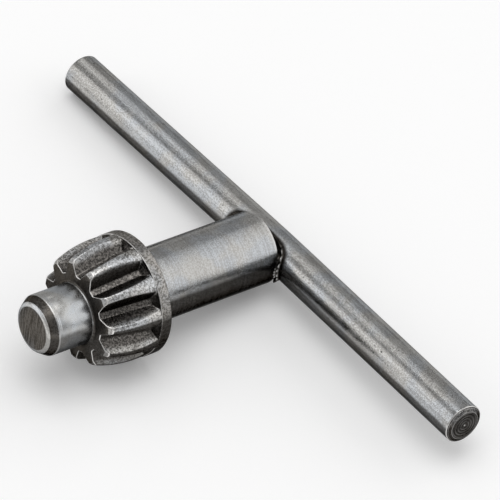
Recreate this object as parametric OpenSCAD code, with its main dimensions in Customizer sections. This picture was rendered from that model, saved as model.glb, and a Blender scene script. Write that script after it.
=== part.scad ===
// Drill chuck key: a key body turned and milled from one bar, with a pilot,
// a bevel pinion, a back flange and a shank; a round T-handle bar set across
// the shank's end; and the ring of flash of the resistance weld between them.
//
// The key is drawn lying as it comes to rest, on the back edge of the flange,
// the rear edge of the shank and one end of the handle bar. The surface it
// lies on is z = 0, the handle runs along X and the nose points to -Y.
// Along the key, a station is a distance from the handle's axis to the nose.

/* [Pilot] */
// Diameter of the plain pilot that centres the key in the chuck body
pilot_d = 6; // [5:0.1:6.6]
// Length of the pilot from the pinion's front face to its tip
pilot_len = 4.9; // [3:0.1:9]
// Length of the lead-in chamfer on the pilot's tip
lead_len = 1; // [0.3:0.1:1.5]
// Diameter of the flat tip face
tip_d = 4.75; // [3.6:0.05:4.9]
// Fillet radius between the pilot and the pinion's front face
pilot_fillet = 0.25; // [0.1:0.05:0.4]

/* [Pinion] */
// Number of teeth
teeth = 11; // [9:1:12]
// Length of the toothed part, from its front face to the flange
pinion_len = 5.6; // [4.6:0.1:7]
// Radius from the key's axis to the floor of a tooth gap, at the front
root_r = 3.9; // [3.7:0.05:4.1]
// Slope of the gap floor, which rises towards the flange
root_slope = 11.9; // [9:0.1:13]
// Width of the flat floor of a tooth gap
floor_w = 0.6; // [0.4:0.05:0.8]
// Angle of each tooth flank to the middle plane of its gap
flank_angle = 39; // [34:0.5:40]
// Radius of the barrel curve that the tooth crests follow along the key
barrel_r = 13; // [11:0.5:18]
// Distance from the flange to the fullest point of the barrel curve
barrel_peak = 0.7; // [0.3:0.1:1.2]
// Crown radius across each tooth crest
crest_r = 1.3; // [1.2:0.05:1.6]
// Slope of the front face, which falls back towards the crests
face_slope = 6; // [2:0.5:10]
// Axial length of the bevel on the front end of each crest
nose_bevel = 0.35; // [0.1:0.05:0.6]
// Axial run of the end wall between a gap floor and the flange
wall_run = 0.4; // [0.2:0.05:0.7]
// Turn of the teeth about the key's axis
clocking = 46.2; // [0:0.1:90]

/* [Flange and shank] */
// Diameter of the flange, which is also the pinion's outside diameter
flange_d = 12.1; // [11.7:0.1:12.6]
// Width of the flange rim
flange_w = 1.2; // [0.8:0.1:2]
// Width of the land between the gaps' end walls and the edge of the rim
rim_land = 0.12; // [0.08:0.02:0.3]
// Chamfer on the rear edge of the flange rim
rim_chamfer = 0.1; // [0.05:0.05:0.2]
// Diameter of the shank
shank_d = 7.17; // [6.4:0.01:8]
// Length of the shank from its rear face to the flange
shank_len = 14.5; // [11:0.5:20]
// Chamfer on the rear edge of the shank
shank_chamfer = 0.08; // [0.05:0.01:0.2]
// Fillet radius between the shank and the flange
shank_fillet = 0.3; // [0.1:0.05:0.6]

/* [Handle] */
// Diameter of the handle bar
bar_d = 4; // [3.5:0.1:4.6]
// Length of the handle bar, measured along it
bar_len = 61.3; // [52:0.1:70]
// Radial size of the chamfer on each end of the bar
end_chamfer = 0.5; // [0.2:0.05:0.8]
// Axial length of the chamfer on each end of the bar
end_chamfer_len = 0.25; // [0.15:0.05:0.6]
// Angle by which the weld has bowed the bar's two halves to the nose
bow = 1.3; // [0.6:0.1:2.5]
// Angle by which the bar stands out of square with the key
skew = 0.44; // [-1:0.01:1]

/* [Weld] */
// Depth to which the bar has sunk into the shank's rear face
sink = 0.36; // [0.2:0.01:0.6]
// Height of the flash ring off the bar and off the shank's side
flash = 0.3; // [0.2:0.05:0.5]
// Reach of the flash ring back from the shank's rear face
flash_back = 0.4; // [0.2:0.05:0.6]

/* [Hidden] */
$fn = 96;
// Stations along the key
bar_r = bar_d / 2;
shank_rear = bar_r - sink;
flange_rear = shank_rear + shank_len;
flange_front = flange_rear + flange_w;
pinion_front = flange_front + pinion_len;
tip = pinion_front + pilot_len;
// Radii about the key's axis
pilot_r = pilot_d / 2;
tip_r = tip_d / 2;
shank_r = shank_d / 2;
flange_r = flange_d / 2;
// Pinion: pitch angle of the teeth and the middle of the barrel curve
pitch = 360 / teeth;
barrel_station = flange_front + barrel_peak;
barrel_centre = flange_r - barrel_r;
// The core under the crowned teeth lies this far below their crests
core_drop = 0.6;
// Crest radius at a station, on the barrel curve
function crest(s) = barrel_centre + sqrt(pow(barrel_r, 2) - pow(s - barrel_station, 2));
// Radius of the gap floor at a station
function floor_r(s) = root_r + (pinion_front - s) * tan(root_slope);
// Station of the sloping front face at a radius, from its flat middle out
face_flat_r = (pilot_r + root_r) / 2;
function face_station(r) = pinion_front - (r - face_flat_r) * tan(face_slope);
// End wall of the gaps: from its foot on the floor up to the flange
wall_foot = flange_front + wall_run;
// A length past anything that is being cut
past = 3;
// Lengths by which a tooth's rib and the core run past the pinion's front
rib_past = 1;
core_past = 0.5;
// Angle kept clear between a rib's sector and the middle of a gap
sector_gap = 2;
// Depth of the gap cutter, from the gap's floor out past the crests
cut_depth = 2.6;
half_len = bar_len / 2;
// Flash ring radii about the bar and about the key's axis
flash_bar_r = bar_r + flash;
flash_shank_r = shank_r + flash;
// Lying pose: pitch up at the nose and roll down to the far handle end
front_rest_station = flange_rear + rim_chamfer;
rear_rest_station = shank_rear + shank_chamfer;
nose_up = atan((flange_r - shank_r) / (front_rest_station - rear_rest_station));
axis_height = shank_r * cos(nose_up) - rear_rest_station * sin(nose_up);
far_bend = bow / 2 - skew;
bar_reach = half_len - end_chamfer_len;
bar_drop = (axis_height - bar_r) / bar_reach + sin(far_bend) * sin(nose_up);
roll = asin(bar_drop / cos(far_bend) / cos(nose_up));
// Middle of the key's outline from the bar's back to the nose
middle_y = (bar_r - tip * cos(nose_up) - tip_r * sin(nose_up)) / 2;

// Takes a piece from the key's own frame to the lying pose
module lying() {
    translate([0, -middle_y, axis_height])
        rotate([-nose_up, 0, 0])
            rotate([0, -roll, 0])
                children();
}

// Stands a turned shape, whose axis is +Z, along the key towards the nose
module along_key() {
    rotate([90, 0, 0])
        children();
}

// Half section of the plain turned parts: pilot, pinion core, flange, shank
module body_section() {
    polygon([
        [0, shank_rear],
        [shank_r - shank_chamfer, shank_rear],
        [shank_r, shank_rear + shank_chamfer],
        [shank_r, flange_rear],
        [flange_r - rim_chamfer, flange_rear],
        [flange_r, flange_rear + rim_chamfer],
        [flange_r, flange_front],
        [0, flange_front]
    ]);
    // fillet between the shank and the flange
    difference() {
        translate([shank_r - shank_fillet, flange_rear - shank_fillet])
            square([2 * shank_fillet, 1.5 * shank_fillet]);
        translate([shank_r + shank_fillet, flange_rear - shank_fillet])
            circle(r = shank_fillet);
    }
    // pilot with its lead-in chamfer and the fillet at its base
    polygon([
        [0, pinion_front - pilot_fillet],
        [pilot_r, pinion_front - pilot_fillet],
        [pilot_r, tip - lead_len],
        [tip_r, tip],
        [0, tip]
    ]);
    difference() {
        translate([pilot_r - pilot_fillet, pinion_front - pilot_fillet / 2])
            square([2 * pilot_fillet, 1.5 * pilot_fillet]);
        translate([pilot_r + pilot_fillet, pinion_front + pilot_fillet])
            circle(r = pilot_fillet);
    }
}

// Crowned rib that one tooth is cut from: its crest follows the barrel curve
module tooth_rib() {
    front_swing = asin((pinion_front + rib_past - barrel_station) / barrel_r);
    rear_swing = asin((barrel_station - flange_rear - flange_w / 2) / barrel_r);
    translate([barrel_centre, 0, barrel_station])
        rotate([90, 0, 0])
            rotate([0, 0, -rear_swing])
                rotate_extrude(angle = front_swing + rear_swing)
                    translate([barrel_r - crest_r, 0])
                        circle(r = crest_r);
}

// Sector that keeps one rib clear of its neighbours
module tooth_sector() {
    reach = flange_r + rib_past;
    half = reach * tan(pitch / 2 - sector_gap);
    translate([0, 0, flange_rear])
        linear_extrude(height = flange_w + pinion_len + rib_past)
            polygon([[0, 0], [reach, -half], [reach, half]]);
}

// Half section of the core under the teeth, following the barrel curve
module core_section() {
    intersection() {
        translate([barrel_centre, barrel_station])
            circle(r = barrel_r - core_drop, $fn = 360);
        polygon([
            [0, flange_front - flange_w / 4],
            [root_r, flange_front - flange_w / 4],
            [flange_r, flange_front],
            [flange_r, pinion_front + core_past],
            [0, pinion_front + core_past]
        ]);
    }
}

// Space turned away in front of the pinion: front face and nose bevel
module front_turning() {
    bevel_station = face_station(crest(pinion_front)) - nose_bevel;
    bevel_r = crest(bevel_station);
    bevel_foot = bevel_r - nose_bevel;
    bevel_slope = (face_station(bevel_foot) - bevel_station) / nose_bevel;
    outer = flange_r + core_past;
    rotate_extrude()
        polygon([
            [0, pinion_front],
            [face_flat_r, pinion_front],
            [bevel_foot, face_station(bevel_foot)],
            [outer, bevel_station - bevel_slope * (outer - bevel_r)],
            [outer, pinion_front + past],
            [0, pinion_front + past]
        ]);
}

// One milled gap: a straight cutter with a flat floor, sunk along the root
module gap_cutter() {
    run = (pinion_len + 2 * past) / cos(root_slope);
    rear = flange_front - past;
    half = floor_w / 2;
    top = half + cut_depth * tan(flank_angle);
    translate([floor_r(rear), 0, rear])
        rotate([0, -root_slope, 0])
            linear_extrude(height = run)
                polygon([[0, -half], [cut_depth, -top], [cut_depth, top], [0, half]]);
}

// Turned space in which the gaps are milled: it ends at their end walls
module gap_zone() {
    wall_top = flange_r - rim_land;
    foot_r = floor_r(wall_foot);
    lower = foot_r - (wall_top - foot_r);
    rotate_extrude()
        polygon([
            [0, wall_foot + wall_run],
            [lower, wall_foot + wall_run],
            [wall_top, flange_front],
            [flange_r + past, flange_front],
            [flange_r + past, pinion_front + past],
            [0, pinion_front + past]
        ]);
}

// Bevel pinion: crowned ribs on a turned core, with the gaps milled out
module pinion() {
    difference() {
        union() {
            rotate_extrude()
                core_section();
            for (i = [0:teeth - 1])
                rotate([0, 0, clocking + i * pitch])
                    intersection() {
                        tooth_rib();
                        tooth_sector();
                    }
        }
        intersection() {
            for (i = [0:teeth - 1])
                rotate([0, 0, clocking + (i + 0.5) * pitch])
                    gap_cutter();
            gap_zone();
        }
        front_turning();
    }
}

// Handle bar in the key's frame: two halves that meet at a slight knee
module bar_solid() {
    knee() {
        bar_half();
        bar_half();
    }
}

// Lays two +Z pieces out as the bar's halves, mitred where they meet
module knee() {
    for (side = [0, 1])
        rotate([0, 0, -skew])
            intersection() {
                rotate([0, 0, (side - 0.5) * bow])
                    rotate([0, (0.5 - side) * 180, 0])
                        children(side);
                translate([side * -bar_len, -bar_len / 2, -bar_d])
                    cube([bar_len, bar_len, 2 * bar_d]);
            }
}

// One half of the bar along +Z, from behind the mitre to its chamfered end
module bar_half() {
    rotate_extrude()
        polygon([
            [0, -past],
            [bar_r, -past],
            [bar_r, half_len - end_chamfer_len],
            [bar_r - end_chamfer, half_len],
            [0, half_len]
        ]);
}

// Pilot, pinion, flange and shank, with the seat that the bar has sunk into
module key_body() {
    color("dimgray")
        lying()
            difference() {
                along_key()
                    union() {
                        rotate_extrude()
                            body_section();
                        pinion();
                    }
                bar_solid();
            }
}

// Round T-handle bar across the shank's end
module handle_bar() {
    color("gray")
        lying()
            bar_solid();
}

// Ring of flash squeezed out of the weld, round the bar at the shank's end
module weld_flash() {
    color("darkslategray")
        lying()
            difference() {
                intersection() {
                    knee() {
                        translate([0, 0, -past])
                            cylinder(r = flash_bar_r, h = shank_r + 2 * past);
                        translate([0, 0, -past])
                            cylinder(r = flash_bar_r, h = shank_r + 2 * past);
                    }
                    along_key()
                        translate([0, 0, shank_rear - flash_back])
                            cylinder(r = flash_shank_r, h = flash_back + bar_r + past);
                }
                bar_solid();
                along_key()
                    translate([0, 0, shank_rear + shank_chamfer])
                        cylinder(r = shank_r, h = shank_len);
                along_key()
                    translate([0, 0, shank_rear])
                        cylinder(r1 = shank_r - shank_chamfer, r2 = shank_r, h = shank_chamfer);
            }
}

key_body();
handle_bar();
weld_flash();
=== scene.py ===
"""Looks of a T-handle drill chuck key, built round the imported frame.

The key's own frame is in millimetres: X along the handle, the nose towards -Y,
Z up. A station is a distance from the handle's axis to the nose. The key lies
on the back edge of its flange, the rear edge of its shank and one end of the bar.
"""

import math

import bmesh
import bpy
from mathutils import Matrix, Quaternion, Vector, noise


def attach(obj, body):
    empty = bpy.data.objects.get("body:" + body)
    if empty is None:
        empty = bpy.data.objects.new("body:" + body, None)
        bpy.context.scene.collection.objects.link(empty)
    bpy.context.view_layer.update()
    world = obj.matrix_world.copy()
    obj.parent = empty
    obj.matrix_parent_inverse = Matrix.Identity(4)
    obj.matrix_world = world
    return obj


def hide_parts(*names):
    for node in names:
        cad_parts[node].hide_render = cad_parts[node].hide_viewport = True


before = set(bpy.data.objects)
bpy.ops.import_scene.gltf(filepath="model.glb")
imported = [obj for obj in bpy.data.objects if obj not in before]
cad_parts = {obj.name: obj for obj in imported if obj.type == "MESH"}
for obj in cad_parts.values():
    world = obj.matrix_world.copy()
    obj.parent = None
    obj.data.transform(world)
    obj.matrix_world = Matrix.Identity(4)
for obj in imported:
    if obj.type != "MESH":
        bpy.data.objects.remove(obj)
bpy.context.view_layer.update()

MM = 0.001

# Sizes of the key, as in the part's source
BAR_R, BAR_HALF, END_CHAMFER, END_CHAMFER_LEN = 2.0, 30.65, 0.5, 0.25
BOW, SKEW, SINK = math.radians(1.3), math.radians(0.44), 0.36
SHANK_R, SHANK_LEN, SHANK_CHAMFER, SHANK_FILLET = 3.585, 14.5, 0.08, 0.3
FLANGE_R, FLANGE_W, RIM_CHAMFER, RIM_LAND = 6.05, 1.2, 0.1, 0.12
TEETH, PINION_LEN, ROOT_R = 11, 5.6, 3.9
ROOT_SLOPE, FLANK_ANGLE, FLOOR_W = math.radians(11.9), math.radians(39), 0.6
BARREL_R, BARREL_PEAK, CREST_R = 13.0, 0.7, 1.3
FACE_SLOPE, NOSE_BEVEL, WALL_RUN = math.radians(6), 0.35, 0.4
CLOCKING = math.radians(46.2)
PILOT_R, PILOT_LEN, LEAD_LEN, TIP_R, PILOT_FILLET = 3.0, 4.9, 1.0, 2.375, 0.25

SHANK_REAR = BAR_R - SINK
FLANGE_REAR = SHANK_REAR + SHANK_LEN
FLANGE_FRONT = FLANGE_REAR + FLANGE_W
PINION_FRONT = FLANGE_FRONT + PINION_LEN
TIP = PINION_FRONT + PILOT_LEN
PITCH = 2 * math.pi / TEETH
BARREL_STATION = FLANGE_FRONT + BARREL_PEAK
BARREL_CENTRE = FLANGE_R - BARREL_R
FACE_FLAT_R = (PILOT_R + ROOT_R) / 2

# Lying pose: pitch up at the nose and roll down to the far end of the bar
NOSE_UP = math.atan(
    (FLANGE_R - SHANK_R)
    / (FLANGE_REAR + RIM_CHAMFER - SHANK_REAR - SHANK_CHAMFER)
)
AXIS_HEIGHT = SHANK_R * math.cos(NOSE_UP) - (SHANK_REAR + SHANK_CHAMFER) * math.sin(NOSE_UP)
FAR_BEND = BOW / 2 - SKEW
BAR_DROP = (AXIS_HEIGHT - BAR_R) / (BAR_HALF - END_CHAMFER_LEN)
BAR_DROP += math.sin(FAR_BEND) * math.sin(NOSE_UP)
ROLL = math.asin(BAR_DROP / math.cos(FAR_BEND) / math.cos(NOSE_UP))
MIDDLE_Y = (BAR_R - TIP * math.cos(NOSE_UP) - TIP_R * math.sin(NOSE_UP)) / 2
KEY_TO_ROW = (
    Matrix.Scale(MM, 4)
    @ Matrix.Translation((0, -MIDDLE_Y, AXIS_HEIGHT))
    @ Matrix.Rotation(-NOSE_UP, 4, "X")
    @ Matrix.Rotation(-ROLL, 4, "Y")
)
# The turning frame has the key's axis as +Z, so that a station is its z
TURNING_TO_ROW = KEY_TO_ROW @ Matrix.Rotation(math.pi / 2, 4, "X")
# The bar's own turning frame has the bar's axis as +Z
BAR_TO_ROW = KEY_TO_ROW @ Matrix.Rotation(math.pi / 2, 4, "Y")


# Camera and lamps

# The photograph's camera in the key's frame, in degrees, millimetres and pixels
CAMERA_AZIMUTH, CAMERA_ELEVATION, CAMERA_ROLL = 47.109, 37.185, 9.287
CAMERA_DISTANCE, CAMERA_ASIDE, CAMERA_ABOVE = 584.73, -1.828, -0.747
FOCAL_PX, PHOTO_WIDTH_PX = 6149.85, 500
SENSOR_WIDTH = 36
CLIP_START, CLIP_END = 0.01, 10
LAMP_DISTANCE = 1.0


def towards(azimuth, elevation):
    """Unit vector to a place seen at an azimuth and elevation, in radians."""
    return Vector((
        math.sin(azimuth) * math.cos(elevation),
        -math.cos(azimuth) * math.cos(elevation),
        math.sin(elevation),
    ))


def photo_camera():
    """Camera of the photograph, carried from the key's frame to the row."""
    azimuth = math.radians(CAMERA_AZIMUTH)
    roll = math.radians(CAMERA_ROLL)
    back = towards(azimuth, math.radians(CAMERA_ELEVATION))
    level = Vector((math.cos(azimuth), math.sin(azimuth), 0))
    upright = back.cross(level)
    right = math.cos(roll) * level + math.sin(roll) * upright
    up = back.cross(right)
    place = back * CAMERA_DISTANCE + right * CAMERA_ASIDE + up * CAMERA_ABOVE
    turn = KEY_TO_ROW.to_3x3() * (1 / MM)
    axes = Matrix((turn @ right, turn @ up, turn @ back)).transposed()
    lens = bpy.data.cameras.new("photo_camera")
    lens.sensor_width = SENSOR_WIDTH
    lens.lens = FOCAL_PX / PHOTO_WIDTH_PX * SENSOR_WIDTH
    lens.clip_start, lens.clip_end = CLIP_START, CLIP_END
    camera = bpy.data.objects.new("photo_camera", lens)
    camera.matrix_world = Matrix.Translation(KEY_TO_ROW @ place) @ axes.to_4x4()
    bpy.context.scene.collection.objects.link(camera)
    bpy.context.scene.camera = camera


def softbox(name, azimuth, elevation, width, height, power, roll=0.0):
    """Rectangular soft light that faces the key from a given side."""
    aim = towards(math.radians(azimuth), math.radians(elevation))
    lamp = bpy.data.lights.new(name, "AREA")
    lamp.shape = "RECTANGLE"
    lamp.size, lamp.size_y = width, height
    lamp.energy = power
    box = bpy.data.objects.new(name, lamp)
    box.location = aim * LAMP_DISTANCE
    turn = aim.to_track_quat("Z", "Y") @ Quaternion((0, 0, 1), math.radians(roll))
    box.rotation_euler = turn.to_euler()
    bpy.context.scene.collection.objects.link(box)


photo_camera()


# Node helpers for the finishes

# The Mix node's sockets for a blend of colours
MIX_AMOUNT, MIX_FIRST, MIX_SECOND, MIX_RESULT = 0, 6, 7, 2


class Finish:
    """A procedural finish, built on one Principled shader."""

    def __init__(self, name, metallic=1.0):
        self.material = bpy.data.materials.new(name)
        self.material.use_nodes = True
        self.tree = self.material.node_tree
        self.shader = self.tree.nodes["Principled BSDF"]
        self.shader.inputs["Metallic"].default_value = metallic

    def node(self, kind, inputs=None, **settings):
        """New shader node with its settings made and its inputs fed."""
        made = self.tree.nodes.new("ShaderNode" + kind)
        for key, value in settings.items():
            setattr(made, key, value)
        for key, value in (inputs or {}).items():
            self.feed(made.inputs[key], value)
        return made

    def feed(self, socket, value):
        """Link a socket's value, or set a plain one."""
        if isinstance(value, bpy.types.NodeSocket):
            self.tree.links.new(value, socket)
        else:
            socket.default_value = value

    def place(self, matrix):
        """Object coordinates carried into a turning frame, in millimetres."""
        position, turn, _ = matrix.decompose()
        coordinates = self.node("TexCoord").outputs["Object"]
        mapping = self.node(
            "Mapping",
            {
                "Vector": coordinates,
                "Location": position,
                "Rotation": turn.to_euler("XYZ"),
                "Scale": (MM, MM, MM),
            },
            vector_type="TEXTURE",
        )
        return mapping.outputs["Vector"]

    def scaled(self, vector, factors):
        """Vector with each part multiplied by its own factor."""
        inputs = {0: vector, 1: factors}
        return self.node("VectorMath", inputs, operation="MULTIPLY").outputs["Vector"]

    def grain(self, vector, scale, detail=3.0, rough=0.55, warp=0.0):
        """Noise between 0 and 1."""
        inputs = {
            "Vector": vector,
            "Scale": scale,
            "Detail": detail,
            "Roughness": rough,
            "Distortion": warp,
        }
        return self.node("TexNoise", inputs).outputs["Fac"]

    def calc(self, operation, first, second=0.0, third=0.0, clamp=False):
        """Result of one arithmetic operation."""
        made = self.node("Math", operation=operation, use_clamp=clamp)
        self.feed(made.inputs[0], first)
        self.feed(made.inputs[1], second)
        self.feed(made.inputs[2], third)
        return made.outputs[0]

    def stretch(self, value, low, high, to_low=0.0, to_high=1.0):
        """Value carried smoothly from one range to another."""
        inputs = {
            "Value": value,
            "From Min": low,
            "From Max": high,
            "To Min": to_low,
            "To Max": to_high,
        }
        made = self.node("MapRange", inputs, interpolation_type="SMOOTHSTEP")
        return made.outputs["Result"]

    def blend(self, amount, first, second, mode="MIX"):
        """Second colour laid over the first by an amount."""
        made = self.node("Mix", data_type="RGBA", blend_type=mode, clamp_factor=True)
        self.feed(made.inputs[MIX_AMOUNT], amount)
        self.feed(made.inputs[MIX_FIRST], first)
        self.feed(made.inputs[MIX_SECOND], second)
        return made.outputs[MIX_RESULT]

    def mark(self, name):
        """Float that the mesh holds at its points."""
        return self.node("Attribute", attribute_name=name).outputs["Fac"]

    def ragged_mark(self, name, broad, raggedness, low, high):
        """Mark of the mesh whose edge is broken up by the mottling."""
        swing = self.calc("SUBTRACT", broad, 0.5)
        ragged = self.calc("MULTIPLY_ADD", swing, raggedness, self.mark(name))
        return self.stretch(ragged, low, high)

    def relief(self, height, distance, under=None):
        """Normal bumped by a height, over another normal if one is given."""
        inputs = {"Height": height, "Distance": distance * MM, "Strength": 1.0}
        if under is not None:
            inputs["Normal"] = under
        return self.node("Bump", inputs).outputs["Normal"]

    def finish(self, colour, roughness, normal=None):
        """Material with its colour, roughness and normal joined up."""
        self.feed(self.shader.inputs["Base Color"], colour)
        self.feed(self.shader.inputs["Roughness"], roughness)
        if normal is not None:
            self.feed(self.shader.inputs["Normal"], normal)
        return self.material


def grey(level, warmth=0.0):
    """Linear neutral colour, warmed towards brown or cooled towards blue."""
    return (level * (1 + warmth), level, level * (1 - warmth), 1)


# Steel

SPECULAR_TINT = (0.3, 0.3, 0.3, 1)
COOL_CAST, WARM_CAST = (0.975, 1.0, 1.025, 1), (1.02, 1.0, 0.96, 1)
PIT_COLOUR = grey(0.03, 0.05)
# Levels of the noise at which a pit starts and is fully dark
PIT_RIM, PIT_DEEP = 0.72, 0.76
# Colours of the painted shade on undersides
UNDERSIDE_SHADE_DARK, UNDERSIDE_SHADE_PALE = grey(0.020, 0.12), grey(0.052, 0.08)
# Warmth of the wear and painted highlight on marked edges
WEAR_HIGHLIGHT_WARMTH = 0.02
# How dark the specks of a darkened place are, next to its own level
SPECK_DARKNESS = 0.25
# How far the roughness goes below and above its middle
SMOOTHER, ROUGHER = 0.06, 0.08


def pitted(f, at, colour, pits):
    """Small dark pits, gathered in patches."""
    pit = f.stretch(f.grain(at, scale=3.5, detail=1.0, rough=0.5), PIT_RIM - pits, PIT_DEEP - pits)
    patch = f.stretch(f.grain(at, scale=0.28, detail=2.0, rough=0.5), low=0.48, high=0.62)
    return f.blend(f.calc("MULTIPLY", pit, patch), colour, PIT_COLOUR)


def steel(
    name, axes, pale, dark, rough, lines, line_depth,
    line_tone=0.2, speck_tone=0.55, speck_scale=5.5, speck_depth=0.012, mottle=0.45,
    pits=0.0, darker=(), under=0.96, wear_highlight_level=0.62, wear_highlight_above=False,
):
    """Steel with tool lines, mottling, specks and pits, painted shade on undersides
    and on marked dark places, and edges bright with wear and painted highlight."""
    f = Finish(name)
    f.shader.inputs["Specular Tint"].default_value = SPECULAR_TINT
    at = f.place(axes)
    tool = f.grain(f.scaled(at, lines), scale=1.0, rough=0.6)
    broad = f.grain(at, mottle, detail=4.0, rough=0.6, warp=0.5)
    speck = f.grain(at, speck_scale, rough=0.65)
    cast = f.grain(at, scale=0.3, detail=2.0, rough=0.5)

    tone = f.calc("MULTIPLY", tool, line_tone)
    tone = f.calc("MULTIPLY_ADD", speck, speck_tone, tone)
    tone = f.calc("MULTIPLY_ADD", broad, 1 - line_tone - speck_tone, tone)
    tone = f.stretch(tone, low=0.42, high=0.58)
    colour = f.blend(tone, dark, pale)
    warm = f.blend(f.stretch(cast, low=0.4, high=0.6), COOL_CAST, WARM_CAST)
    colour = f.blend(1.0, colour, warm, "MULTIPLY")
    if pits:
        colour = pitted(f, at, colour, pits)

    # Marked places get a speckled dark colour: painted shade in hollows, or dark weld scale with
    # painted shade beside the weld
    for mark, level, warmth in darker:
        shade = f.blend(
            f.stretch(speck, low=0.42, high=0.62),
            grey(level * SPECK_DARKNESS, warmth),
            grey(level, warmth),
        )
        marked = f.ragged_mark(mark, broad, raggedness=0.6, low=0.1, high=0.8)
        colour = f.blend(marked, colour, shade)
    # Painted shade where the surface faces down
    faces_down = f.ragged_mark("underside", broad, raggedness=0.45, low=0.12, high=0.9)
    underside_shade = f.calc("MULTIPLY", faces_down, under)
    colour = f.blend(underside_shade, colour, f.blend(tone, UNDERSIDE_SHADE_DARK, UNDERSIDE_SHADE_PALE))

    # Marked edges bright with wear and painted highlight, on some finishes only where no painted
    # underside shade falls
    broken = f.stretch(speck, low=0.22, high=0.42)
    wear_highlight = f.calc("MULTIPLY", f.mark("wear_highlight"), broken, clamp=True)
    if wear_highlight_above:
        wear_highlight = f.calc("MULTIPLY", wear_highlight, f.calc("SUBTRACT", 1.0, underside_shade, clamp=True))
    colour = f.blend(wear_highlight, colour, grey(wear_highlight_level, WEAR_HIGHLIGHT_WARMTH))

    uneven = f.calc("MULTIPLY_ADD", speck, 0.4, broad)
    roughness = f.stretch(uneven, 0.5, 0.9, rough - SMOOTHER, rough + ROUGHER)
    bumped = f.relief(tool, line_depth)
    bumped = f.relief(speck, speck_depth, bumped)
    return f.finish(colour, roughness, bumped)


# Outline of the turned and milled body

def crest_radius(station):
    """Radius of the tooth tops' barrel."""
    return BARREL_CENTRE + math.sqrt(BARREL_R**2 - (station - BARREL_STATION) ** 2)


def floor_radius(station):
    """Radius of the gaps' sloped floor."""
    return ROOT_R + (PINION_FRONT - station) * math.tan(ROOT_SLOPE)


def face_station(radius):
    """Station of the sloped front face."""
    return PINION_FRONT - (radius - FACE_FLAT_R) * math.tan(FACE_SLOPE)


BEVEL_STATION = face_station(crest_radius(PINION_FRONT)) - NOSE_BEVEL
BEVEL_R = crest_radius(BEVEL_STATION)
BEVEL_FOOT = BEVEL_R - NOSE_BEVEL
BEVEL_RISE = (face_station(BEVEL_FOOT) - BEVEL_STATION) / NOSE_BEVEL
WALL_TOP = FLANGE_R - RIM_LAND
WALL_FOOT = FLANGE_FRONT + WALL_RUN
WALL_FOOT_R = floor_radius(WALL_FOOT)


def front_limit(radius):
    """Station of the turned front face and nose bevel at a radius."""
    if radius <= BEVEL_FOOT:
        return face_station(radius)
    return BEVEL_STATION - BEVEL_RISE * (radius - BEVEL_R)


def rear_limit(radius):
    """Station of the gaps' end wall, or of the flange's front face."""
    if radius >= WALL_TOP:
        return FLANGE_FRONT
    return FLANGE_FRONT + WALL_RUN * (WALL_TOP - radius) / (WALL_TOP - WALL_FOOT_R)


def between(a, b, t):
    """Point at a share of the way between two."""
    return a + (b - a) * t


def ease(start, corner, end, t):
    """Point on a rounded corner."""
    return start * (1 - t) ** 2 + corner * 2 * t * (1 - t) + end * t**2


def rounded(points, eases, steps=3):
    """Profile through corner points, each corner rounded by its ease."""
    out = [Vector(points[0])]
    for before, corner, after, size in zip(points, points[1:], points[2:], eases):
        before, corner, after = Vector(before), Vector(corner), Vector(after)
        start = corner + (before - corner).normalized() * size
        end = corner + (after - corner).normalized() * size
        out += [ease(start, corner, end, i / steps) for i in range(steps + 1)]
    out.append(Vector(points[-1]))
    return out


# Tooth section

FLOOR_EASE, CREST_EASE, EDGE_EASE = 0.09, 0.07, 0.08
FLANK_STEPS, CREST_STEPS = 4, 6
# Spans from the middle of a gap to the middle of a tooth: the flank's and the
# crest's, two of the floor, two of its corner and three of the crest's corner
HALF = FLANK_STEPS + CREST_STEPS + 7
COLUMNS = range(HALF + 1)
# The two columns on the eased edge of the tooth top
CREST_EDGE = (FLANK_STEPS + 5, FLANK_STEPS + 6)
HALVINGS = 30
SETTLINGS = 12


def tooth_section(station):
    """Points across half a pitch at a station, from mid gap to mid tooth."""
    low = floor_radius(station)
    rise = math.cos(ROOT_SLOPE) * math.tan(FLANK_ANGLE)
    offset = station - BARREL_STATION
    cos_b, sin_b = math.cos(PITCH / 2), math.sin(PITCH / 2)

    def crest(across):
        reach = BARREL_R - CREST_R + math.sqrt(max(CREST_R**2 - across**2, 0))
        x = BARREL_CENTRE + math.sqrt(reach**2 - offset**2)
        return Vector((x * cos_b + across * sin_b, x * sin_b - across * cos_b))

    def flank(x):
        return Vector((x, FLOOR_W / 2 + (x - low) * rise))

    near, far = 0.0, CREST_R
    for _ in range(HALVINGS):
        across = (near + far) / 2
        point = crest(across)
        if point.y > flank(point.x).y:
            near = across
        else:
            far = across
    corner = crest(across)
    foot = Vector((low, FLOOR_W / 2))
    along = (corner - foot).normalized()
    floor_end = foot - Vector((0, FLOOR_EASE))
    flank_start = foot + along * FLOOR_EASE
    flank_end = corner - along * CREST_EASE
    land_start = crest(across - CREST_EASE)
    points = [Vector((low, 0)), between(Vector((low, 0)), floor_end, 0.6), floor_end]
    points.append(floor_end / 4 + foot / 2 + flank_start / 4)
    points += [between(flank_start, flank_end, i / FLANK_STEPS) for i in range(FLANK_STEPS + 1)]
    points += [ease(flank_end, corner, land_start, t) for t in (0.33, 0.67)]
    points += [crest((across - CREST_EASE) * (1 - i / CREST_STEPS)) for i in range(CREST_STEPS + 1)]
    return points


def milled(column, station):
    """Radius and angle from mid gap of one column of the milled surface."""
    p = tooth_section(station)[column]
    return p.length, math.atan2(p.y, p.x)


def settle(column, limit, start):
    """Station at which a milled column meets a turned limit."""
    station = start
    for _ in range(SETTLINGS):
        station = limit(milled(column, station)[0])
    return station


FRONT = [settle(c, front_limit, PINION_FRONT) for c in COLUMNS]
REAR = [settle(c, rear_limit, WALL_FOOT) for c in COLUMNS]
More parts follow.
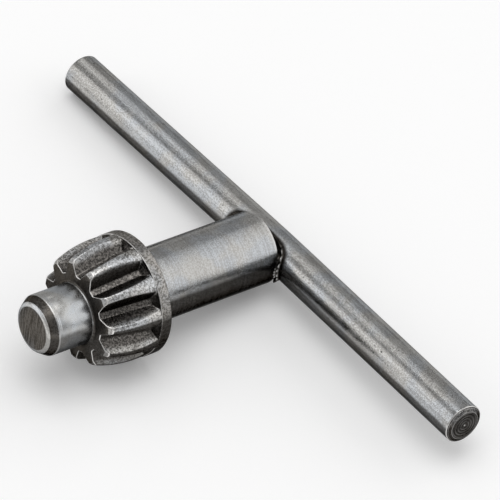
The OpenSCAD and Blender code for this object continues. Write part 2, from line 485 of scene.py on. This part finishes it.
# Radius and angle of each column where the teeth start and where they end
FRONT_AT = [milled(c, FRONT[c]) for c in COLUMNS]
REAR_AT = [milled(c, REAR[c]) for c in COLUMNS]


# Rows of the body

# A row is a zone name, a (radius, angle, station) for each column of half a
# pitch, and each column's share of wear and painted highlight. A zone is the
# finish of the strip that ends at its row.
FILLET_STEPS = 5
FILLET_TURNS = [math.pi / 2 * i / FILLET_STEPS for i in range(FILLET_STEPS + 1)]


def even(wear):
    """The same share of wear and painted highlight in every column."""
    return [wear] * len(COLUMNS)


def ring(zone, radius, station, outline, wear=0.0):
    """Turned row, with its columns at the angles of an outline of the teeth."""
    return zone, [(radius, angle, station) for _, angle in outline], even(wear)


TIP_RINGS = (0.0, 0.35, 0.8, 1.3, 1.8, 2.08)
TIP_DOME = 0.004
# The lead-in's profile starts this far inside its edge and ends this far behind it
LEAD_INSET, LEAD_BACK = 0.26, 0.11
TIP_EASE, LEAD_EASE = 0.25, 0.10
# The lead-in's rows: tip face, eased edge, chamfer, eased edge, pilot
LEAD_ZONES = ("tip",) * 2 + ("tip_rim",) * 4 + ("lead",) + ("pilot",) * 5
# Share of wear and painted highlight on each row, on the eased edge behind the chamfer
LEAD_RUB_HIGHLIGHT = (0.0,) * 7 + (0.3,) * 3 + (0.0,) * 2


def tip_rows():
    """Tip face and lead-in chamfer."""
    rows = [ring("tip", r, TIP + TIP_DOME * (1 - r), FRONT_AT) for r in TIP_RINGS]
    lead = rounded(
        [
            (TIP_R - LEAD_INSET, TIP),
            (TIP_R, TIP),
            (PILOT_R, TIP - LEAD_LEN),
            (PILOT_R, TIP - LEAD_LEN - LEAD_BACK),
        ],
        [TIP_EASE, LEAD_EASE],
        steps=4,
    )
    for (radius, station), zone, wear in zip(lead, LEAD_ZONES, LEAD_RUB_HIGHLIGHT):
        rows.append(ring(zone, radius, station, FRONT_AT, wear))
    return rows


# Distance behind the lead-in and depth, across the pilot's two hairline grooves
LEAD_GROOVES = ((0.13, 0), (0.16, 0.014), (0.19, 0), (0.30, 0), (0.33, 0.010), (0.36, 0))
PILOT_STATIONS = (25.2, 24.9, 24.5, 23.9, 23.5)


def pilot_rows():
    """Pilot, the fillet at its foot and the flat ring round it."""
    rows = []
    for back, depth in LEAD_GROOVES:
        rows.append(ring("pilot", PILOT_R - depth, TIP - LEAD_LEN - back, FRONT_AT))
    for station in PILOT_STATIONS:
        rows.append(ring("pilot", PILOT_R, station, FRONT_AT))
    for i, turn in enumerate(FILLET_TURNS):
        rows.append(ring(
            "pilot" if i < len(FILLET_TURNS) / 2 else "face",
            PILOT_R + PILOT_FILLET * (1 - math.cos(turn)),
            PINION_FRONT + PILOT_FILLET * (1 - math.sin(turn)),
            FRONT_AT,
        ))
    rows.append(ring("face", FACE_FLAT_R, PINION_FRONT, FRONT_AT))
    return rows


# Where the eased edge of the front outline starts, and where the face ends
FACE_CLEAR = 0.02
EDGE_START = [r - EDGE_EASE for r, _ in FRONT_AT]
FACE_END = [min(BEVEL_FOOT, r - FACE_CLEAR) for r in EDGE_START]
FACE_SHARES = (0.35, 0.7, 1.0)
BEVEL_FIRST = 0.03
# A column's bevel gets wear and painted highlight if it reaches this far past the bevel's foot
BEVEL_REACH = 0.05
# Shares of wear and painted highlight on the bevel and on eased edges
BEVEL_RUB_HIGHLIGHT, EDGE_RUB_HIGHLIGHT = 0.22, 0.9


def face_rows():
    """Sloped front face of the pinion."""
    rows = []
    for share in FACE_SHARES:
        places = []
        for c in COLUMNS:
            radius = between(FACE_FLAT_R, FACE_END[c], share)
            places.append((radius, FRONT_AT[c][1], face_station(radius)))
        rows.append(("face", places, even(0.0)))
    return rows


def nose_rows():
    """Nose bevel, and the eased edge of the teeth's front outline."""
    bevel = []
    for c in COLUMNS:
        radius = FACE_END[c] + min(BEVEL_FIRST, (EDGE_START[c] - FACE_END[c]) * 0.5)
        bevel.append((radius, FRONT_AT[c][1], front_limit(radius)))
    bevel_wear = [BEVEL_RUB_HIGHLIGHT if r > BEVEL_FOOT + BEVEL_REACH else 0.0 for r, _ in FRONT_AT]
    rows = [("teeth", bevel, bevel_wear)]
    edge_wear = (bevel_wear, even(EDGE_RUB_HIGHLIGHT), even(EDGE_RUB_HIGHLIGHT), even(0.0))
    for t, wear in zip((0, 0.33, 0.67, 1), edge_wear):
        places = []
        for c in COLUMNS:
            below = FRONT[c] - EDGE_EASE
            p = ease(
                Vector((EDGE_START[c], front_limit(EDGE_START[c]))),
                Vector((FRONT_AT[c][0], FRONT[c])),
                Vector((milled(c, below)[0], below)),
                t,
            )
            places.append((p.x, FRONT_AT[c][1], p.y))
        rows.append(("teeth", places, wear))
    return rows


GAP_STEPS = 26
WALL_FOOT_EASE = 0.08
# Share of wear and painted highlight on the tooth top's eased edge
CREST_EDGE_RUB_HIGHLIGHT = 0.06


def gap_rows():
    """Milled surface from the front outline to the foot of the end walls."""
    wear = [CREST_EDGE_RUB_HIGHLIGHT if c in CREST_EDGE else 0.0 for c in COLUMNS]
    rows = []
    for i in range(1, GAP_STEPS + 1):
        places = []
        for c in COLUMNS:
            first = FRONT[c] - EDGE_EASE
            last = REAR[c] + min(WALL_FOOT_EASE, FLANGE_R - REAR_AT[c][0])
            station = between(first, last, i / GAP_STEPS)
            places.append((*milled(c, station), station))
        rows.append(("teeth", places, wear))
    return rows


WALL_SHARES = (0.0, 0.12, 0.55, 1.0)
# A column whose end wall is lower than this has no wall to speak of
LEAST_WALL = 0.03
# Steps that keep the rows apart there, at a wall's foot and inside the rim
LAND_STEP, WALL_FOOT_STEP, RIM_STEP = 0.006, 0.012, 0.001
# Ease of the rim's front edge, narrower where a tooth reaches close to it
WIDEST_EASE, EASE_SHARE = 0.05, 0.6
RIM_EASE = [min(WIDEST_EASE, (FLANGE_R - r) * EASE_SHARE) for r, _ in REAR_AT]


def wall_rows():
    """End walls of the gaps, and the land inside the rim's edge."""
    rows = []
    for i, share in enumerate(WALL_SHARES):
        places = []
        for c in COLUMNS:
            foot, angle = REAR_AT[c]
            radius = foot + LAND_STEP * i
            if foot < WALL_TOP - LEAST_WALL:
                radius = between(foot, WALL_TOP, share)
                if i == 0:
                    radius += WALL_FOOT_STEP
            room = RIM_STEP * (len(WALL_SHARES) - i)
            radius = min(radius, FLANGE_R - RIM_EASE[c] - room)
            places.append((radius, angle, rear_limit(radius)))
        rows.append(("teeth", places, even(0.0)))
    return rows


def rim_edge_rows():
    """Eased front edge of the flange's rim."""
    rows = []
    for t in (0, 0.5, 1):
        places = []
        for c in COLUMNS:
            p = ease(
                Vector((FLANGE_R - RIM_EASE[c], FLANGE_FRONT)),
                Vector((FLANGE_R, FLANGE_FRONT)),
                Vector((FLANGE_R, FLANGE_FRONT - RIM_EASE[c])),
                t,
            )
            places.append((p.x, REAR_AT[c][1], p.y))
        rows.append(("teeth" if t == 0 else "rim", places, even(EDGE_RUB_HIGHLIGHT)))
    return rows


BACK_RADII = (5.2, 4.4)
SHANK_STATIONS = (14.5, 12.5, 10.5, 8.5, 6.5, 4.5, 3.0, 2.2)
REAR_RADII = (2.4, 1.2, 0.0)
REAR_EASE = 0.04
# Share of wear and painted highlight on the front edge of the shank's rear chamfer
SHANK_EDGE_RUB_HIGHLIGHT = 0.55
# Rows on the rim, behind its front and ahead of its rear
RIM_FRONT_ROW, RIM_REAR_ROW = 0.08, 0.55
# Where a rear edge's profile starts, and how far in on the face it ends
RIM_EDGE_FROM, RIM_INSET = FLANGE_REAR + 0.3, 0.4
SHANK_EDGE_FROM, SHANK_INSET = 2.0, 0.3


def rear_edge(radius, start, rear, chamfer, inset):
    """Profile of a turned rear edge: a point, two eased corners, a point."""
    return rounded(
        [
            (radius, start),
            (radius, rear + chamfer),
            (radius - chamfer, rear),
            (radius - inset, rear),
        ],
        [REAR_EASE, REAR_EASE],
        steps=2,
    )


def rings(zone, profile, wear=0.0):
    """Turned rows behind the teeth along a profile of (radius, station) points."""
    return [ring(zone, radius, station, REAR_AT, wear) for radius, station in profile]


def flange_rows():
    """Flange's rim, rear chamfer and back face, and the fillet to the shank."""
    side = [(FLANGE_R, FLANGE_FRONT - RIM_FRONT_ROW), (FLANGE_R, FLANGE_REAR + RIM_REAR_ROW)]
    edge = rear_edge(FLANGE_R, RIM_EDGE_FROM, FLANGE_REAR, RIM_CHAMFER, RIM_INSET)
    back = edge[-2:] + [(radius, FLANGE_REAR) for radius in BACK_RADII]
    for turn in FILLET_TURNS:
        back.append((
            SHANK_R + SHANK_FILLET * (1 - math.sin(turn)),
            FLANGE_REAR - SHANK_FILLET * (1 - math.cos(turn)),
        ))
    return rings("rim", side + edge[:-2]) + rings("back", back)


def shank_rows():
    """Shank, its rear chamfer with a front edge bright with wear and painted highlight, and its
    rear face.
    """
    side = [(SHANK_R, station) for station in SHANK_STATIONS]
    edge = rear_edge(SHANK_R, SHANK_EDGE_FROM, SHANK_REAR, SHANK_CHAMFER, SHANK_INSET)
    rows = rings("shank", side + edge[:1])
    rows += rings("shank", edge[1:4], SHANK_EDGE_RUB_HIGHLIGHT)
    rows += rings("shank", edge[4:-1])
    return rows + rings("back", edge[-1:] + [(radius, SHANK_REAR) for radius in REAR_RADII])


def body_rows():
    """Rows of the body from the tip's centre to the rear face's centre."""
    front = tip_rows() + pilot_rows() + face_rows() + nose_rows()
    return front + gap_rows() + wall_rows() + rim_edge_rows() + flange_rows() + shank_rows()


# Meshes

# How much painted shade a gap has, from its middle, over its floor and up its flank
GAP_SHADE = (0.8, 0.8, 0.95, 1.0, 1.0, 0.95, 0.75, 0.45, 0.2, 0.0)
# Ring of painted shade at the pilot's foot: share, distance from the face and reach
FOOT_SHADE, FOOT_SHADE_AT, FOOT_SHADE_REACH = 0.6, 0.3, 0.6
# A point whose normal rises less than this starts to count as underside, which gets painted shade
LEVEL_NORMAL, LEAN_SOONER, UNDER_REACH = 0.40, 0.14, 0.25
# Rows are spun this far apart, before each point goes to its place
ROW_SPACING = 0.2
SAME_POINT = 1e-5


def hollowness(zone, column, station):
    """How much painted shade a point of the body gets, in the gaps between the teeth and in a ring
    at the pilot's foot.
    """
    if zone == "pilot":
        return FOOT_SHADE * max(0.0, 1 - abs(station - PINION_FRONT - FOOT_SHADE_AT) / FOOT_SHADE_REACH)
    if zone == "teeth":
        return GAP_SHADE[min(column, len(GAP_SHADE) - 1)]
    return 0.0


def spun(profile, steps):
    """Mesh of a profile of (radius, station) points turned about +Z."""
    bm = bmesh.new()
    row_mark = bm.verts.layers.int.new("row")
    chain = []
    for i, (radius, station) in enumerate(profile):
        vert = bm.verts.new((radius, 0, station))
        vert[row_mark] = i
        chain.append(vert)
    edges = [bm.edges.new(pair) for pair in zip(chain, chain[1:])]
    bmesh.ops.spin(
        bm, geom=chain + edges, cent=(0, 0, 0), axis=(0, 0, 1), dvec=(0, 0, 0),
        angle=2 * math.pi, steps=steps,
        use_merge=True, use_normal_flip=False, use_duplicate=False,
    )
    bmesh.ops.remove_doubles(bm, verts=bm.verts, dist=SAME_POINT)
    return bm, row_mark


def piece_from(bm, name, matrix, finishes, lean=None):
    """Finished object at the origin, with its place in its mesh.

    A point counts as underside, which gets painted shade, as its normal leaves
    the upright; lean names a layer of how much sooner it does so.
    """
    bmesh.ops.transform(bm, matrix=matrix, verts=bm.verts)
    bmesh.ops.recalc_face_normals(bm, faces=bm.faces)
    under = bm.verts.layers.float.new("underside")
    bm.normal_update()
    for vert in bm.verts:
        sooner = LEAN_SOONER * vert[lean] if lean else 0
        vert[under] = min(max((LEVEL_NORMAL + sooner - vert.normal.z) / UNDER_REACH, 0), 1)
    for face in bm.faces:
        face.smooth = True
    mesh = bpy.data.meshes.new(name)
    bm.to_mesh(mesh)
    bm.free()
    for finish in finishes:
        mesh.materials.append(finish)
    piece = bpy.data.objects.new(name, mesh)
    bpy.context.scene.collection.objects.link(piece)
    return piece


def key_body(finishes):
    """Pilot, pinion, flange and shank as one turned and milled piece."""
    rows = body_rows()
    per_pitch = 2 * HALF
    count = TEETH * per_pitch
    spread = [(places[0][0], TIP - ROW_SPACING * i) for i, (_, places, _) in enumerate(rows)]
    bm, row_mark = spun(spread, count)
    wear_highlight = bm.verts.layers.float.new("wear_highlight")
    hollow = bm.verts.layers.float.new("hollow")
    for vert in bm.verts:
        turn = round(math.atan2(vert.co.y, vert.co.x) / (2 * math.pi) * count) % count
        gap, across = divmod(turn, per_pitch)
        column = abs(across - HALF)
        side = 1 if across >= HALF else -1
        zone, places, wear = rows[vert[row_mark]]
        radius, angle, station = places[column]
        theta = CLOCKING + (gap + 0.5) * PITCH + side * angle
        vert.co = (radius * math.cos(theta), radius * math.sin(theta), station)
        vert[wear_highlight] = wear[column]
        vert[hollow] = hollowness(zone, column, station)
    names = list(finishes)
    for face in bm.faces:
        first = min(vert[row_mark] for vert in face.verts)
        face.material_index = names.index(rows[first + 1][0])
    return piece_from(bm, "key_body_steel", TURNING_TO_ROW, finishes.values(), hollow)


# Handle bar

KNEE_EASE = 3.0
# Outline of the weld's outer lip, and how the dark weld scale and painted shade fade outside it
LIP_LEN, LIP_ANGLE, LIP_SQUARE = 4.1, math.radians(70), 2.9
SCALE_AND_SHADE_FULL, SCALE_AND_SHADE_FADE = 1.15, 0.17
BAR_STEPS = 96
# Rows along half the bar: how many and how far apart, away from the weld and
# near it, and the lengths left free of them at the end and at the middle
FAR_ROWS, FAR_APART, NEAR_ROWS, NEAR_APART = 33, 0.7, 59, 0.22
END_CLEAR, MIDDLE_CLEAR = 0.8, 0.1
# Turned rings of a bar end: first radius, step, depth, half height and spacing
RINGS_FROM, RINGS_STEP = 0.17, 0.045
RINGS_DEPTH, RINGS_HEIGHT, RINGS_APART = 0.016, 0.015, 0.3
# Rings get wear and painted highlight above this depth below the end, from this radius outwards
RING_CREST, RINGS_BRIGHT_FROM = 0.022, 0.2
# Wear and painted highlight for each millimetre of height, its swing and its waves in one turn
RUB_MEAN, RUB_SWING, RUB_WAVES = 8, 5, 3
# Rows of the centre mark, which is bright with wear and painted highlight as far as its second row
CENTRE_ROWS, CENTRE_BRIGHT_ROWS = 3, 2
# Rows of the end's profile that are face beyond the rings, and plain bar
FACE_ROWS, PLAIN_ROWS = 2, 3
# Share of wear and painted highlight on the rows across a bar end's chamfer and its burr
END_RUB_HIGHLIGHT = {
    2: 0.5, 3: 0.5, 6: 0.6, 7: 0.4,
    14: 0.7, 15: 0.9, 16: 0.9, 17: 0.9, 18: 0.9, 19: 0.6,
}


def bar_bend(along):
    """Slope and drop of the bar's middle line, which the weld has bowed."""
    bend = BOW / 2 + (SKEW if along > 0 else -SKEW)
    reach = abs(along)
    if reach < KNEE_EASE:
        return bend * reach / KNEE_EASE, bend * reach**2 / (2 * KNEE_EASE)
    return bend, bend * (reach - KNEE_EASE / 2)


def bar_end_face():
    """Centre mark and turned rings of a bar's end face."""
    face = [(0.0, BAR_HALF), (0.06, BAR_HALF - 0.004), (0.13, BAR_HALF - 0.04)]
    radius = RINGS_FROM
    while radius < BAR_R - END_CHAMFER - 0.07:
        wave = math.cos(radius * 2 * math.pi / RINGS_APART)
        face.append((radius, BAR_HALF - RINGS_DEPTH - RINGS_HEIGHT * wave))
        radius += RINGS_STEP
    return face


def bar_end_edge():
    """Chamfer of a bar's end, with a fine burr groove inside it."""
    edge = rounded(
        [
            (BAR_R - END_CHAMFER - 0.06, BAR_HALF),
            (BAR_R - END_CHAMFER, BAR_HALF),
            (BAR_R - 0.17, BAR_HALF - 0.165),
            (BAR_R - 0.15, BAR_HALF - 0.245),
            (BAR_R - 0.07, BAR_HALF - 0.217),
            (BAR_R, BAR_HALF - END_CHAMFER_LEN - 0.03),
            (BAR_R, BAR_HALF - END_CHAMFER_LEN - 0.3),
        ],
        [0.04, 0.02, 0.015, 0.02, 0.04],
    )
    return [tuple(p) for p in edge]


def bar_stations():
    """Stations along half the bar, closer together near the weld."""
    stations = [BAR_HALF - END_CLEAR - FAR_APART * i for i in range(1, FAR_ROWS + 1)]
    stations += [stations[-1] - NEAR_APART * i for i in range(1, NEAR_ROWS + 1)]
    return [s for s in stations if s > MIDDLE_CLEAR]


def end_rub_highlight(depth, face_rows, place):
    """Share of wear and painted highlight of a point at a row's depth from the centre of a bar end.
    """
    if depth < CENTRE_BRIGHT_ROWS:
        return 1.0
    if depth - face_rows in END_RUB_HIGHLIGHT:
        return END_RUB_HIGHLIGHT[depth - face_rows]
    if not CENTRE_ROWS <= depth < face_rows or place.xy.length <= RINGS_BRIGHT_FROM:
        return 0.0
    high = abs(place.z) - BAR_HALF + RING_CREST
    swing = math.sin(RUB_WAVES * math.atan2(place.y, place.x) + depth)
    return max(high, 0) * (RUB_MEAN + RUB_SWING * swing)


def weld_scale_and_shade(place):
    """Share of dark weld scale and painted shade on the bar, from the lip's outline outwards."""
    x, y, along = place
    around = abs(math.atan2(x, -y))
    near = (abs(along) / LIP_LEN) ** LIP_SQUARE + (around / LIP_ANGLE) ** LIP_SQUARE
    near = near ** (1 / LIP_SQUARE) - 1
    return min(max(SCALE_AND_SHADE_FULL - near / SCALE_AND_SHADE_FADE, 0), 1)


def handle_bar(finishes):
    """Round bar with chamfered ends, bowed to the nose at the weld.

    The finishes are the bar's own, its end faces' and its end chamfers'.
    """
    face = bar_end_face()
    end = face + bar_end_edge()
    half = end + [(BAR_R, s) for s in bar_stations()]
    profile = half + [(r, -s) for r, s in reversed(half)]
    bm, row_mark = spun(profile, BAR_STEPS)
    last = len(profile) - 1
    for f in bm.faces:
        first = min(vert[row_mark] for vert in f.verts)
        depth = min(first, last - first - 1)
        if depth >= len(end) - PLAIN_ROWS:
            f.material_index = 0
        else:
            f.material_index = 1 if depth < len(face) + FACE_ROWS else 2
    wear_highlight = bm.verts.layers.float.new("wear_highlight")
    # Dark weld scale with painted shade beside the weld
    scaled = bm.verts.layers.float.new("scaled")
    for vert in bm.verts:
        depth = min(vert[row_mark], last - vert[row_mark])
        vert[wear_highlight] = end_rub_highlight(depth, len(face), vert.co)
        vert[scaled] = weld_scale_and_shade(vert.co)
        _, y, along = vert.co
        slope, drop = bar_bend(along)
        side = 1 if along > 0 else -1
        vert.co.y = y * math.cos(slope) - drop
        vert.co.z = along + side * y * math.sin(slope)
    return piece_from(bm, "handle_bar_steel", BAR_TO_ROW, finishes)


# Weld's flash

# Across the flash from the seam to its foot on the bar: half length along the
# bar, half angle round it, squareness, height off the bar and share of wear and
# painted highlight
FLASH_ACROSS = (
    (3.30, 30, 5.0, -0.25, 0.0),
    (3.54, 34, 4.6, 0.04, 0.0),
    (3.62, 38, 5.2, 0.16, 0.7),
    (3.68, 40, 5.2, 0.25, 1.0),
    (3.74, 42, 5.0, 0.12, 0.2),
    (3.80, 46, 3.8, 0.01, 0.0),
    (3.92, 57, 3.2, 0.00, 0.0),
    (4.02, 65, 3.0, 0.06, 0.0),
    (4.06, 67.5, 2.9, 0.20, 0.7),
    (4.09, 69, 2.9, 0.23, 1.0),
    (4.12, 70.5, 2.9, 0.19, 0.6),
    (4.16, 73, 2.9, 0.04, 0.0),
    (4.22, 76, 2.9, -0.20, 0.0),
)
# The one row inside the bar, which closes the flash
FLASH_INSIDE = (3.8, 55, 3.4, -0.35, 0.0)
INNER_LIP, OUTER_LIP = (2, 3, 4), (7, 8, 9, 10)
FLASH_STEPS = 420
# Beads in one turn round the flash, before the noise shifts them
BEADS_ROUND = 27.6
# Frequency and place of the noise that makes lumps, and that shifts the beads
LUMP_NOISE, SHIFT_NOISE = (4, 1.7), (6, 7.3)
# The side away from the photograph is drawn in and lower
FAR_DRAW, FAR_HEIGHT, FAR_EXTRA, FAR_FADE = 0.30, 0.10, 0.12, 3
# Shares of a lip's height: its least, and what a bead and a lump add
INNER_LEAST, INNER_BEAD, OUTER_LEAST, OUTER_BEAD, LIP_LUMP = 0.45, 0.7, 0.55, 0.55, 0.3
# How fast the inner lip's wear and painted highlight grow with its beads
INNER_RUB = 1.5
# The inner lip fades out towards the top
LIP_FADE_FROM, LIP_FADE, LEAST_LIP = 0.35, 0.5, 0.15
# The outer lip's wear and painted highlight fade out round the bar, in degrees
RUB_FULL, RUB_FADE = 1.6, 40
# The lump at one corner: place along the bar, angle below its middle, spread
# and height
DROP_ALONG, DROP_ANGLE, DROP_SPREAD, DROP_HEIGHT = 3.1, math.radians(64), 0.28, 0.5


def ring_noise(c, s, pattern):
    """Noise at a direction round the flash."""
    frequency, place = pattern
    return noise.noise(Vector((c * frequency, s * frequency, place)))


def lip_shares(row, beads, lump, s, angle):
    """Shares of its height and of its wear and painted highlight that a point of a lip keeps."""
    if row in INNER_LIP:
        low = min(max((LIP_FADE_FROM - s) / LIP_FADE, LEAST_LIP), 1)
        tall = INNER_LEAST + INNER_BEAD * beads + LIP_LUMP * lump
        return low * tall, low * min(INNER_RUB * beads, 1)
    if row in OUTER_LIP:
        shown = min(max(RUB_FULL - abs(math.degrees(angle)) / RUB_FADE, 0), 1)
        return OUTER_LEAST + OUTER_BEAD * beads + LIP_LUMP * lump, beads * shown
    return 1, 1


def weld_flash(finishes):
    """Beaded lip, dark groove and second lip squeezed out round the seam."""
    across = FLASH_ACROSS + (FLASH_INSIDE,)
    # A plain ring to start from, since every point is moved to its place
    strip = [(4.0, 1.0 + 0.1 * i) for i in range(len(FLASH_ACROSS))]
    strip.append((3.4, 1.7))
    bm, row_mark = spun(strip + [strip[0]], FLASH_STEPS)
    wear_highlight = bm.verts.layers.float.new("wear_highlight")
    for vert in bm.verts:
        c, s = Vector(vert.co.xy).normalized()
        row = vert[row_mark] % len(strip)
        half_len, half_angle, square, height, rub = across[row]
        reach = (abs(c) ** square + abs(s) ** square) ** (-1 / square)
        angle = math.radians(half_angle) * reach * s
        if c < 0:
            half_len += FAR_DRAW * c
            height = min(height, FAR_HEIGHT + FAR_EXTRA * (1 - min(-c * FAR_FADE, 1)))
        x = half_len * reach * c
        lump = ring_noise(c, s, LUMP_NOISE)
        shift = 2.0 * ring_noise(c, s, SHIFT_NOISE)
        beads = 0.5 + 0.5 * math.sin(math.atan2(s, c) * BEADS_ROUND + shift)
        height_share, rub_share = lip_shares(row, beads, lump, s, angle)
        off_drop = (x - DROP_ALONG) ** 2 + (2 * (angle + DROP_ANGLE)) ** 2
        drop = math.exp(-off_drop / DROP_SPREAD)
        rise = BAR_R + height * height_share + DROP_HEIGHT * drop
        _, sag = bar_bend(x)
        vert.co = (x, -rise * math.cos(angle) - sag, rise * math.sin(angle))
        vert[wear_highlight] = max(rub * rub_share * (1 - drop), 0)
    return piece_from(bm, "weld_flash_bead", KEY_TO_ROW, finishes)


# Finishes of the body

ROUND_LINES = (0.15, 0.15, 6.0)

shank_steel = steel(
    "shank_turned", TURNING_TO_ROW, pale=grey(0.50, -0.015), dark=grey(0.36, 0.01),
    rough=0.22, lines=ROUND_LINES, line_depth=0.004,
    line_tone=0.3, speck_tone=0.6, speck_scale=6.5, speck_depth=0.009,
)
pilot_steel = steel(
    "pilot_polished", TURNING_TO_ROW, pale=grey(0.54, -0.02), dark=grey(0.47),
    rough=0.29, lines=(0.3, 0.3, 2.0), line_depth=0.002,
    line_tone=0.25, speck_tone=0.55, speck_depth=0.003, mottle=0.8, under=0.75,
    # painted shade in a ring at the pilot's foot
    darker=(("hollow", 0.17, 0.08),),
)
tip_rim_steel = steel(
    "tip_rim_rubbed", TURNING_TO_ROW, pale=grey(0.75), dark=grey(0.55),
    rough=0.30, lines=ROUND_LINES, line_depth=0.002,
    speck_depth=0.004, under=0.55,
)
lead_steel = steel(
    "lead_in_dark", TURNING_TO_ROW, pale=grey(0.12, 0.08), dark=grey(0.06, 0.10),
    rough=0.28, lines=ROUND_LINES, line_depth=0.003,
    speck_depth=0.004,
)
tip_steel = steel(
    "tip_ground", TURNING_TO_ROW, pale=grey(0.17, 0.06), dark=grey(0.065, 0.09),
    rough=0.42, lines=(9.0, 0.4, 1.0), line_depth=0.008,
    line_tone=0.6, speck_tone=0.3, under=0.0,
)
face_steel = steel(
    "face_turned", TURNING_TO_ROW, pale=grey(0.10, 0.08), dark=grey(0.05, 0.10),
    rough=0.38, lines=(1.0, 1.0, 4.0), line_depth=0.003,
    under=0.3, wear_highlight_level=0.4,
)
teeth_steel = steel(
    "teeth_milled", TURNING_TO_ROW, pale=grey(0.67, 0.0), dark=grey(0.22, 0.03),
    rough=0.30, lines=(0.8, 0.8, 5.0), line_depth=0.006,
    line_tone=0.15, speck_tone=0.65, speck_depth=0.016, pits=0.05,
    # painted shade in the gaps between the teeth
    darker=(("hollow", 0.21, 0.07),), wear_highlight_level=0.85,
)
rim_steel = steel(
    "rim_speckled", TURNING_TO_ROW, pale=grey(0.46, 0.02), dark=grey(0.13, 0.05),
    rough=0.34, lines=(4.0, 4.0, 1.2), line_depth=0.010,
    # wear and painted highlight only where no painted underside shade falls
    line_tone=0.25, speck_tone=0.6, speck_depth=0.016, wear_highlight_above=True,
)
back_steel = steel(
    "back_turned", TURNING_TO_ROW, pale=grey(0.36, 0.02), dark=grey(0.18, 0.04),
    rough=0.36, lines=(1.0, 1.0, 5.0), line_depth=0.005,
    under=0.7,
)

# Finishes of the bar and the weld

bar_steel = steel(
    "bar_drawn", BAR_TO_ROW, pale=grey(0.57, -0.01), dark=grey(0.34, 0.01),
    rough=0.19, lines=(3.0, 3.0, 0.08), line_depth=0.003,
    line_tone=0.25, speck_tone=0.6, speck_scale=7.0, speck_depth=0.009, pits=0.02,
    # dark weld scale with painted shade beside the weld
    under=0.82, darker=(("scaled", 0.05, 0.12),),
)
bar_face = steel(
    "bar_end_turned", BAR_TO_ROW, pale=grey(0.045, 0.08), dark=grey(0.015, 0.10),
    rough=0.36, lines=(1.0, 1.0, 4.0), line_depth=0.003,
    under=0.0, wear_highlight_level=0.5,
)
bar_edge = steel(
    "bar_end_bevel", BAR_TO_ROW, pale=grey(0.26, 0.03), dark=grey(0.06, 0.05),
    rough=0.32, lines=(1.0, 1.0, 6.0), line_depth=0.004,
    under=0.97,
)
weld_scale = steel(
    "weld_scale", KEY_TO_ROW, pale=grey(0.06, 0.10), dark=grey(0.015, 0.10),
    rough=0.40, lines=(3.0, 3.0, 3.0), line_depth=0.012,
    mottle=2.0, under=0.6, wear_highlight_level=0.95,
)

# Pieces

body = key_body({
    "tip": tip_steel,
    "tip_rim": tip_rim_steel,
    "lead": lead_steel,
    "pilot": pilot_steel,
    "face": face_steel,
    "teeth": teeth_steel,
    "rim": rim_steel,
    "back": back_steel,
    "shank": shank_steel,
})
bar = handle_bar([bar_steel, bar_face, bar_edge])
flash = weld_flash([weld_scale])
for piece, node, slot in (
    (body, "key_body", "body_steel"),
    (bar, "handle_bar", "bar_steel"),
    (flash, "weld_flash", "weld_scale"),
):
    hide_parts(node)
    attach(piece, "root")


# Floor and surroundings

FLOOR_HALF, FLOOR_SQUARES = 2.5, 8
FLOOR_DARK, FLOOR_PALE = (0.93, 0.93, 0.93, 1), (0.95, 0.95, 0.95, 1)
FLOOR_MOTTLE, FLOOR_ROUGHNESS = 3.0, 0.8
WHITE = (1, 1, 1, 1)


def pale_floor(lift):
    """Pale floor whose own colour is lifted to white where it is looked at."""
    bm = bmesh.new()
    bmesh.ops.create_grid(
        bm, x_segments=FLOOR_SQUARES, y_segments=FLOOR_SQUARES, size=FLOOR_HALF
    )
    mesh = bpy.data.meshes.new("floor")
    bm.to_mesh(mesh)
    bm.free()
    floor = bpy.data.objects.new("floor", mesh)
    bpy.context.scene.collection.objects.link(floor)
    paint = Finish("pale_floor", metallic=0.0)
    mottled = paint.grain(paint.node("TexCoord").outputs["Object"], FLOOR_MOTTLE)
    paint.finish(paint.blend(mottled, FLOOR_DARK, FLOOR_PALE), FLOOR_ROUGHNESS)
    path = paint.node("LightPath")
    seen = paint.calc("MAXIMUM", path.outputs["Is Camera Ray"], path.outputs["Is Glossy Ray"])
    seen = paint.calc("MAXIMUM", seen, path.outputs["Is Transmission Ray"])
    paint.shader.inputs["Emission Color"].default_value = WHITE
    paint.feed(paint.shader.inputs["Emission Strength"], paint.calc("MULTIPLY", seen, lift))
    paint.shader.inputs["Specular IOR Level"].default_value = 0.0
    mesh.materials.append(paint.material)


def grey_surroundings(strength):
    """Even light from all round."""
    world = bpy.data.worlds.new("studio")
    world.use_nodes = True
    back_light = world.node_tree.nodes["Background"]
    back_light.inputs["Color"].default_value = WHITE
    back_light.inputs["Strength"].default_value = strength
    bpy.context.scene.world = world


pale_floor(lift=0.13)
grey_surroundings(strength=0.39)
softbox("shank_softbox", azimuth=160, elevation=27, width=1.65, height=0.95, power=4.05)
softbox("handle_softbox", azimuth=-42, elevation=23, width=0.8, height=0.64, power=1.28, roll=-18)
softbox("handle_strip", azimuth=-107, elevation=49, width=0.13, height=0.8, power=0.25, roll=-48)
softbox("top_softbox", azimuth=50, elevation=88, width=0.85, height=0.85, power=4.0)

bpy.context.scene.view_settings.view_transform = "Standard"
